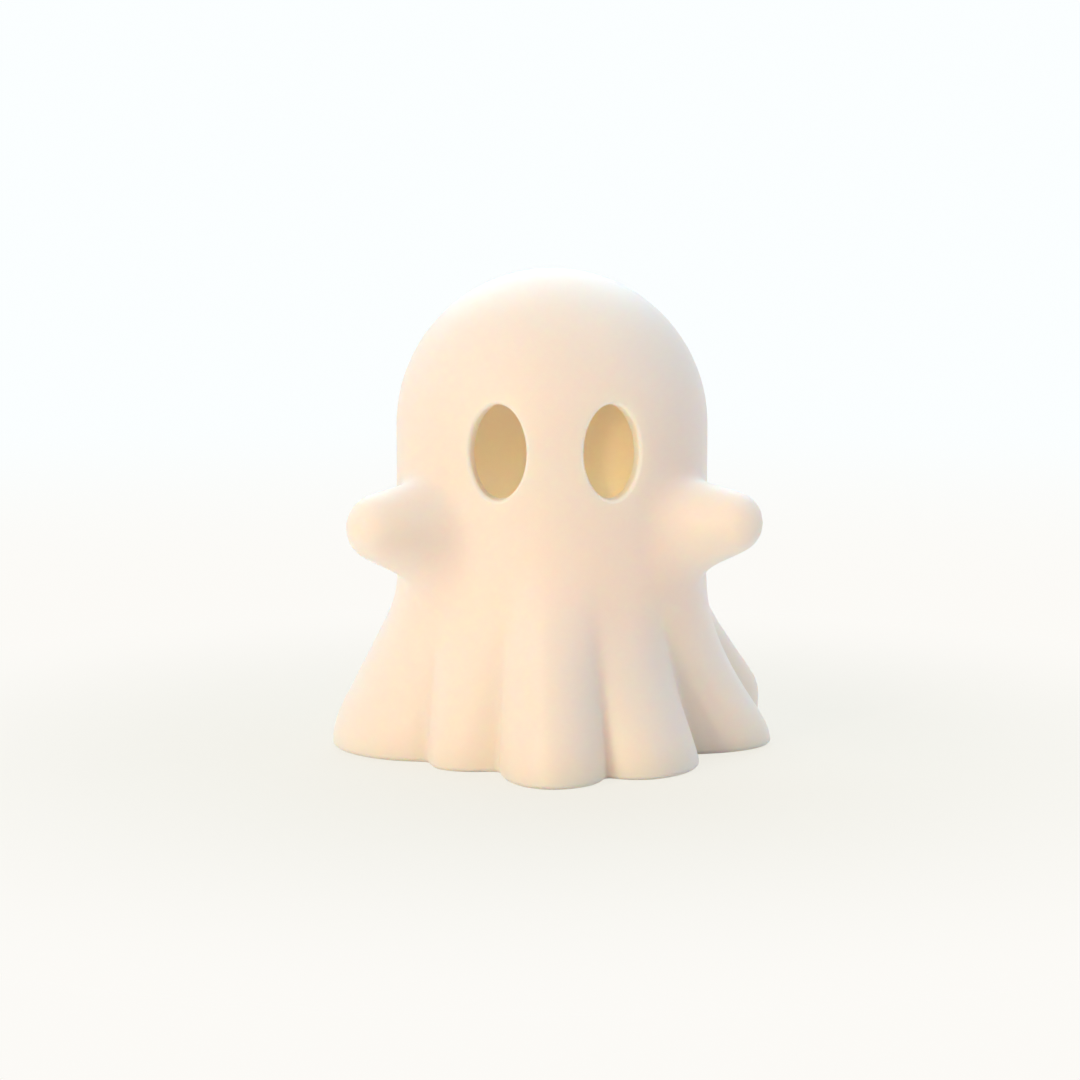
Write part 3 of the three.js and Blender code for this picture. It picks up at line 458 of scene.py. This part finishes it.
for _ in range(SKIN_RUBS):
    rub(ghost_bm.verts)
for arm_side, turn in ARM_TURN.items():
    out = Vector((math.sin(turn), -math.cos(turn), 0))
    root = out * BODY_RADIUS + Vector((0, 0, ARM_TIP_HEIGHT[arm_side]))
    reach_of = {vert: (vert.co - root).length for vert in ghost_bm.verts}
    near = [vert for vert, reach in reach_of.items() if reach < ROOT_REACH]
    for i in range(ROOT_RUBS):
        limit = mix(ROOT_REACH, ROOT_CORE, i / ROOT_RUBS)
        rub([vert for vert in near if reach_of[vert] < limit])

# The hem's lower edge is rounded over, and the foot is flat on the table.
LIP_RADIUS = 0.0008
LIP_ROWS = 4
LIP_CROWDING = 1.5
LEVEL_SLACK = 1e-6
for i in range(LIP_ROWS + 1):
    level = LIP_RADIUS * (i / LIP_ROWS) ** LIP_CROWDING
    bmesh.ops.bisect_plane(ghost_bm, geom=ghost_bm.verts[:] + ghost_bm.edges[:] + ghost_bm.faces[:],
                           dist=LEVEL_SLACK, plane_co=(0, 0, level), plane_no=(0, 0, 1),
                           clear_inner=i == 0)
ghost_bm.normal_update()
for vert in ghost_bm.verts:
    if vert.co.z < LIP_RADIUS:
        drop = 1 - vert.co.z / LIP_RADIUS
        inset = LIP_RADIUS * (1 - math.sqrt(max(0, 1 - drop * drop)))
        side_way = Vector((vert.normal.x, vert.normal.y, 0)).normalized()
        vert.co -= side_way * inset
close_holes(ghost_bm)
ghost_bm.to_mesh(ghost.data)
ghost_bm.free()

# The inside is a straight bore with a domed ceiling. The eyes are cut almost square to the face,
# and lean a little outward as they go in.
BORE_TOP = 0.0502
CEILING_CENTRE = 0.048
BORE_COLUMNS = 160
CEILING_ROWS = 24
BORE_START = -0.001
EYE_HEIGHT_UP = 0.0514
EYE_WIDTH = 0.0095
EYE_HEIGHT = 0.0151
EYE_TURN = math.radians(20.9)
EYE_LEAN = 0.14
EYE_RIM = 0.0007
EYE_SIDES = 96
RIM_ROWS = 8
RIM_TURN = math.radians(81)
MOUTH_GROWTH = EYE_RIM * 1.4
MOUTH_REACH = 0.002
TUBE_START = BORE_RADIUS / 2


def turned_piece(bm, outline, columns):
    """Spins an outline of (radius, height) points, from axis to axis, about the upright."""
    spin_line(bm, [(radius, 0, z) for radius, z in outline], (0, 0, 1), columns)
    bmesh.ops.remove_doubles(bm, verts=bm.verts, dist=SAME_PLACE)
    bmesh.ops.recalc_face_normals(bm, faces=bm.faces)


def cut_away(piece, bm, name):
    """Cuts a closed tool out of a piece, and removes the tool."""
    tool = link_mesh(name, bm)
    cut = piece.modifiers.new(name, "BOOLEAN")
    cut.operation = "DIFFERENCE"
    cut.solver = "EXACT"
    cut.object = tool
    bake_modifiers(piece)
    tool_mesh = tool.data
    bpy.data.objects.remove(tool)
    bpy.data.meshes.remove(tool_mesh)


ceiling_radius = math.hypot(BORE_RADIUS, BORE_TOP - CEILING_CENTRE)
ceiling_start = math.asin((BORE_TOP - CEILING_CENTRE) / ceiling_radius)
bore_line = [(0, BORE_START), (BORE_RADIUS, BORE_START)]
for i in range(CEILING_ROWS):
    lift = mix(ceiling_start, math.pi / 2, i / CEILING_ROWS)
    bore_line.append((ceiling_radius * math.cos(lift),
                      CEILING_CENTRE + ceiling_radius * math.sin(lift)))
bore_line.append((0, CEILING_CENTRE + ceiling_radius))
bore_bm = bmesh.new()
turned_piece(bore_bm, bore_line, BORE_COLUMNS)
cut_away(ghost, bore_bm, "bore_tool")


def eye_tool(side):
    """A tool for one eye: an oval tube whose mouth opens out over the rim's rounding."""
    out = Vector((side * math.sin(EYE_TURN), -math.cos(EYE_TURN), 0))
    across = Vector((0, 0, 1)).cross(out)

    def face_depth(aside, z):
        above = max(0, z - HEAD_CENTRE)
        return math.sqrt(BODY_RADIUS ** 2 - aside ** 2 - above ** 2)

    rings = [(0, None)]
    for i in range(RIM_ROWS + 1):
        curl = i / RIM_ROWS * RIM_TURN
        rings.append((EYE_RIM * (1 - math.cos(curl)), -EYE_RIM * (1 - math.sin(curl))))
    rings.append((MOUTH_GROWTH, MOUTH_REACH))
    bm = bmesh.new()
    spin_line(bm, [(row, 1, 0) for row in range(len(rings))], (1, 0, 0), EYE_SIDES)
    for vert in bm.verts:
        grow, depth = rings[round(vert.co.x)]
        aside = (EYE_WIDTH / 2 + grow) * vert.co.y
        z = EYE_HEIGHT_UP + (EYE_HEIGHT / 2 + grow) * vert.co.z
        distance = TUBE_START if depth is None else face_depth(aside, z) + depth
        lean = side * EYE_LEAN * (BODY_RADIUS - distance) if depth is None else 0
        vert.co = out * distance + across * (aside + lean) + Vector((0, 0, z))
    close_holes(bm)
    bmesh.ops.recalc_face_normals(bm, faces=bm.faces)
    return bm


for eye_side in (-1, 1):
    cut_away(ghost, eye_tool(eye_side), "eye_tool")

SHARP_ANGLE = math.radians(35)


def shade(piece, sharp=SHARP_ANGLE):
    """Smooth faces, with an edge kept crisp where it turns by more than an angle."""
    bm = bmesh.new()
    bm.from_mesh(piece.data)
    for face in bm.faces:
        face.smooth = True
    for edge in bm.edges:
        edge.smooth = not edge.is_manifold or edge.calc_face_angle() < sharp
    bm.to_mesh(piece.data)
    bm.free()


shade(ghost)

PRINT_COLOR = (0.93, 0.80, 0.665)
PRINT_GLOW_REACH = 0.0035
PRINT_GLOW_TINT = (1.0, 0.6, 0.35)
LAYER_HEIGHT = 0.0002
LAYER_BUMP = LAYER_HEIGHT / 60
GLOSS_SPREAD = 3
# A wave texture at a scale of one repeats after this length.
WAVE_RUN = math.pi / 10


def noise_of(nodes, links, scale, detail=3):
    """Noise laid on a piece's own coordinates."""
    place = nodes.new("ShaderNodeTexCoord")
    noise = nodes.new("ShaderNodeTexNoise")
    noise.inputs["Scale"].default_value = scale
    noise.inputs["Detail"].default_value = detail
    links.new(place.outputs["Object"], noise.inputs["Vector"])
    return noise


def finish(name, color, roughness, metallic=0, patch=400, spread=0.03, grain=3000, bump=0.000004):
    """A material with slight differences of colour and gloss, and a fine uneven surface."""
    material = bpy.data.materials.new(name)
    material.use_nodes = True
    nodes, links = material.node_tree.nodes, material.node_tree.links
    shader = nodes["Principled BSDF"]
    shader.inputs["Metallic"].default_value = metallic
    patches = noise_of(nodes, links, patch)
    tone = nodes.new("ShaderNodeMixRGB")
    tone.inputs["Color1"].default_value = (*[part * (1 - spread) for part in color], 1)
    tone.inputs["Color2"].default_value = (*[min(1, part * (1 + spread)) for part in color], 1)
    links.new(patches.outputs["Fac"], tone.inputs["Fac"])
    links.new(tone.outputs["Color"], shader.inputs["Base Color"])
    gloss = nodes.new("ShaderNodeMapRange")
    gloss.inputs["To Min"].default_value = roughness * (1 - GLOSS_SPREAD * spread)
    gloss.inputs["To Max"].default_value = roughness * (1 + GLOSS_SPREAD * spread)
    links.new(patches.outputs["Fac"], gloss.inputs["Value"])
    links.new(gloss.outputs["Result"], shader.inputs["Roughness"])
    uneven = nodes.new("ShaderNodeBump")
    uneven.name = "uneven"
    uneven.inputs["Distance"].default_value = bump
    links.new(noise_of(nodes, links, grain).outputs["Fac"], uneven.inputs["Height"])
    links.new(uneven.outputs["Normal"], shader.inputs["Normal"])
    return material


def set_shader(material, values):
    """Sets constant values on a material's shader, each by its socket's name."""
    sockets = material.node_tree.nodes["Principled BSDF"].inputs
    for name, value in values.items():
        sockets[name].default_value = value


print_material = finish("printed_plastic", PRINT_COLOR, 0.5, patch=90, spread=0.012, grain=900)
set_shader(print_material, {"Subsurface Weight": 1, "Subsurface Scale": PRINT_GLOW_REACH,
                            "Subsurface Radius": PRINT_GLOW_TINT})
nodes, links = print_material.node_tree.nodes, print_material.node_tree.links
layers = nodes.new("ShaderNodeTexWave")
layers.bands_direction = "Z"
layers.inputs["Scale"].default_value = WAVE_RUN / LAYER_HEIGHT
layer_place = nodes.new("ShaderNodeTexCoord")
links.new(layer_place.outputs["Object"], layers.inputs["Vector"])
layer_bump = nodes.new("ShaderNodeBump")
layer_bump.inputs["Distance"].default_value = LAYER_BUMP
links.new(layers.outputs["Fac"], layer_bump.inputs["Height"])
links.new(layer_bump.outputs["Normal"], nodes["uneven"].inputs["Normal"])
ghost.data.materials.clear()
ghost.data.materials.append(print_material)
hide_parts("ghost_shell")
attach(ghost, "ghost")

# Tealight cup
# A white plastic cup with a slight taper and a rolled rim. Its top is moulded as a dish of
# melted wax, with a collar round the flame, and it is open below for the base plate.
CUP_COLOR = (0.82, 0.79, 0.73)
CUP_GLOW_WEIGHT = 0.6
CUP_GLOW_REACH = 0.001
CUP_COLUMNS = 128
CUP_LINE = [
    # (radius, height) in millimetres: the bead inside the foot, the wall and the rolled rim,
    (17.3, 0.6), (16.95, 0.5), (16.8, 0.3), (16.95, 0.1), (17.13, 0), (18.4, 0), (18.5, 0.1),
    (18.8, 18.1), (18.75, 18.3), (18.6, 18.48), (18.33, 18.58), (17.87, 18.6), (17.65, 18.55),
    # the dish of wax,
    (17.48, 18.4), (17.4, 18.13), (17.1, 17.75), (16.6, 17.4), (16, 17.1), (14.5, 16.7),
    (12.6, 16.42), (10.7, 16.2), (9.3, 16.04), (7.8, 16),
    # the collar and the socket for the flame, and the inside of the wall.
    (7.3, 16.03), (6.95, 16.2), (6.8, 16.45), (6.65, 16.63), (6.45, 16.7), (6.15, 16.67),
    (5.9, 16.58), (5.8, 16.4), (5.8, 14.8), (7.5, 14.8), (7.5, 12.6), (8.5, 12.6), (8.5, 14.8),
    (17.2, 14.8), (16.9, 2.6), (17.3, 2.6), (17.3, 0.6),
]

cup_bm = bmesh.new()
turned_piece(cup_bm, [(radius * MM, z * MM) for radius, z in CUP_LINE], CUP_COLUMNS)
cup = link_mesh("cup_moulding", cup_bm)
shade(cup)
cup_material = finish("cup_plastic", CUP_COLOR, 0.38, patch=120, spread=0.02, grain=1500)
set_shader(cup_material, {"Subsurface Weight": CUP_GLOW_WEIGHT, "Subsurface Scale": CUP_GLOW_REACH})
cup.data.materials.append(cup_material)
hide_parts("tealight_cup")
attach(cup, "tealight")

# Flame
# A hollow frosted plastic flame over the lamp, which is lit: palest a third of the way up and
# deeper amber at the tip. It leans a little to one side, and its flange lies under the dish.
FLAME_COLOR = (1.0, 0.86, 0.62)
# This is the light it sheds, and below it what the camera sees of it, from foot to tip.
FLAME_GLOW = (0.90, 1.0, 0.80)
FLAME_STRENGTH = 3.3
FLAME_LOOK = [(0.0, (0.50, 0.28, 0.09)), (0.30, (0.66, 0.46, 0.18)), (0.62, (0.60, 0.33, 0.08)),
              (1.0, (0.46, 0.17, 0.02))]
FLAME_COLUMNS = 72
FLAME_LEAN = 0.9
FLAME_FOOT_Z = 14.5
FLAME_TIP_Z = 37
FLAME_SIDE = [(5.3, 14.5), (5.5, 19.45), (5.115, 23.95), (3.63, 29.125), (1.65, 34.075), (0, 37)]
FLAME_FOOT = [(2.8, 14.5), (2.8, 13.3), (7.2, 13.3), (7.2, 14.5)]
FLAME_ROWS = 60
FLAME_WALL = 1
FLAME_SOLID_BELOW = 1.5


def smooth_line(points, rows):
    """Points along a smooth line through the given ones."""
    ends = [points[0], *points, points[-1]]
    line = []
    for row in range(rows + 1):
        spot = min(int(row / rows * (len(points) - 1)), len(points) - 2)
        t = row / rows * (len(points) - 1) - spot
        before, start, end, after = (Vector(point) for point in ends[spot:spot + 4])
        line.append(0.5 * (2 * start + (end - before) * t
                           + (2 * before - 5 * start + 4 * end - after) * t ** 2
                           + (3 * start - before - 3 * end + after) * t ** 3))
    return [tuple(point) for point in line]


flame_side = smooth_line(FLAME_SIDE, FLAME_ROWS)
flame_inside = [(radius - FLAME_WALL, z) for radius, z in flame_side if radius > FLAME_SOLID_BELOW]
flame_line = [(0, flame_inside[-1][1] + FLAME_WALL), *reversed(flame_inside), *FLAME_FOOT,
              *flame_side]
flame_bm = bmesh.new()
turned_piece(flame_bm, [(radius * MM, z * MM) for radius, z in flame_line], FLAME_COLUMNS)
for vert in flame_bm.verts:
    climb = max(0, (vert.co.z / MM - FLAME_FOOT_Z) / (FLAME_TIP_Z - FLAME_FOOT_Z))
    vert.co.x += FLAME_LEAN * MM * climb ** 2
flame = link_mesh("flame_moulding", flame_bm)
shade(flame)
flame_material = finish("flame_plastic", FLAME_COLOR, 0.35, patch=150, spread=0.02, grain=1200)
nodes, links = flame_material.node_tree.nodes, flame_material.node_tree.links
flame_place = nodes.new("ShaderNodeTexCoord")
flame_height = nodes.new("ShaderNodeSeparateXYZ")
links.new(flame_place.outputs["Object"], flame_height.inputs["Vector"])
flame_climb = nodes.new("ShaderNodeMapRange")
flame_climb.inputs["From Min"].default_value = FLAME_FOOT_Z * MM
flame_climb.inputs["From Max"].default_value = FLAME_TIP_Z * MM
links.new(flame_height.outputs["Z"], flame_climb.inputs["Value"])
flame_look = nodes.new("ShaderNodeValToRGB")
stops = flame_look.color_ramp.elements
stops.remove(stops[1])
stops[0].color = (*FLAME_LOOK[0][1], 1)
for place, color in FLAME_LOOK[1:]:
    stops.new(place).color = (*color, 1)
links.new(flame_climb.outputs["Result"], flame_look.inputs["Fac"])
flame_seen = nodes.new("ShaderNodeLightPath")
flame_tone = nodes.new("ShaderNodeMixRGB")
flame_tone.inputs["Color1"].default_value = (*[part * FLAME_STRENGTH for part in FLAME_GLOW], 1)
links.new(flame_seen.outputs["Is Camera Ray"], flame_tone.inputs["Fac"])
links.new(flame_look.outputs["Color"], flame_tone.inputs["Color2"])
links.new(flame_tone.outputs["Color"], nodes["Principled BSDF"].inputs["Emission Color"])
set_shader(flame_material, {"Emission Strength": 1})
flame.data.materials.append(flame_material)
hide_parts("flame_bulb")
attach(flame, "tealight")

# Lamp
# A round-topped light emitting diode in clear warm resin, with two bent tinned wires: one to
# the strip over the cell and one to the switch.
LED_COLOR = (0.95, 0.83, 0.58)
LED_CLEARNESS = 0.7
WIRE_COLOR = (0.72, 0.73, 0.75)


def give(node, material):
    """Puts a material on a piece that comes from the frame."""
    piece = bpy.data.objects[node]
    for slot in piece.material_slots:
        slot.material = material


led_material = finish("led_epoxy", LED_COLOR, 0.12, spread=0.01)
set_shader(led_material, {"Transmission Weight": LED_CLEARNESS})
give("led", led_material)
wire_material = finish("tinned_wire", WIRE_COLOR, 0.32, metallic=1, patch=2000, spread=0.08)
for node in ("anode_lead", "cathode_lead"):
    give(node, wire_material)

# Base plate and battery door
# Both are moulded in the cup's white plastic, a touch greyer and duller, as they are thin.
BASE_COLOR = (0.82, 0.80, 0.755)

base_material = finish("base_plastic", BASE_COLOR, 0.45, patch=150, spread=0.02, grain=1500)
for node in ("base_plate", "battery_door"):
    give(node, base_material)

# Coin cell
# A flat lithium cell of bright steel, rolled at the rim, with fine scuffs.
CELL_COLOR = (0.68, 0.68, 0.69)

give("coin_cell", finish("cell_steel", CELL_COLOR, 0.26, metallic=1, patch=700, spread=0.05))

# Contacts and wiper
# Springs pressed from bronze sheet: a blade beside the cell, a strip over it, and the wiper
# that rides on the switch.
BRONZE_COLOR = (0.70, 0.47, 0.23)

bronze_material = finish("spring_bronze", BRONZE_COLOR, 0.34, metallic=1, patch=900, spread=0.06)
for node in ("positive_contact", "negative_contact", "switch_wiper"):
    give(node, bronze_material)

# Switch slider
# A black plastic slider with a ribbed knob that stands in the base plate's slot.
SLIDER_COLOR = (0.022, 0.022, 0.024)

slider_material = finish("switch_plastic", SLIDER_COLOR, 0.5, patch=500, spread=0.05, grain=2500)
give("switch_slider", slider_material)
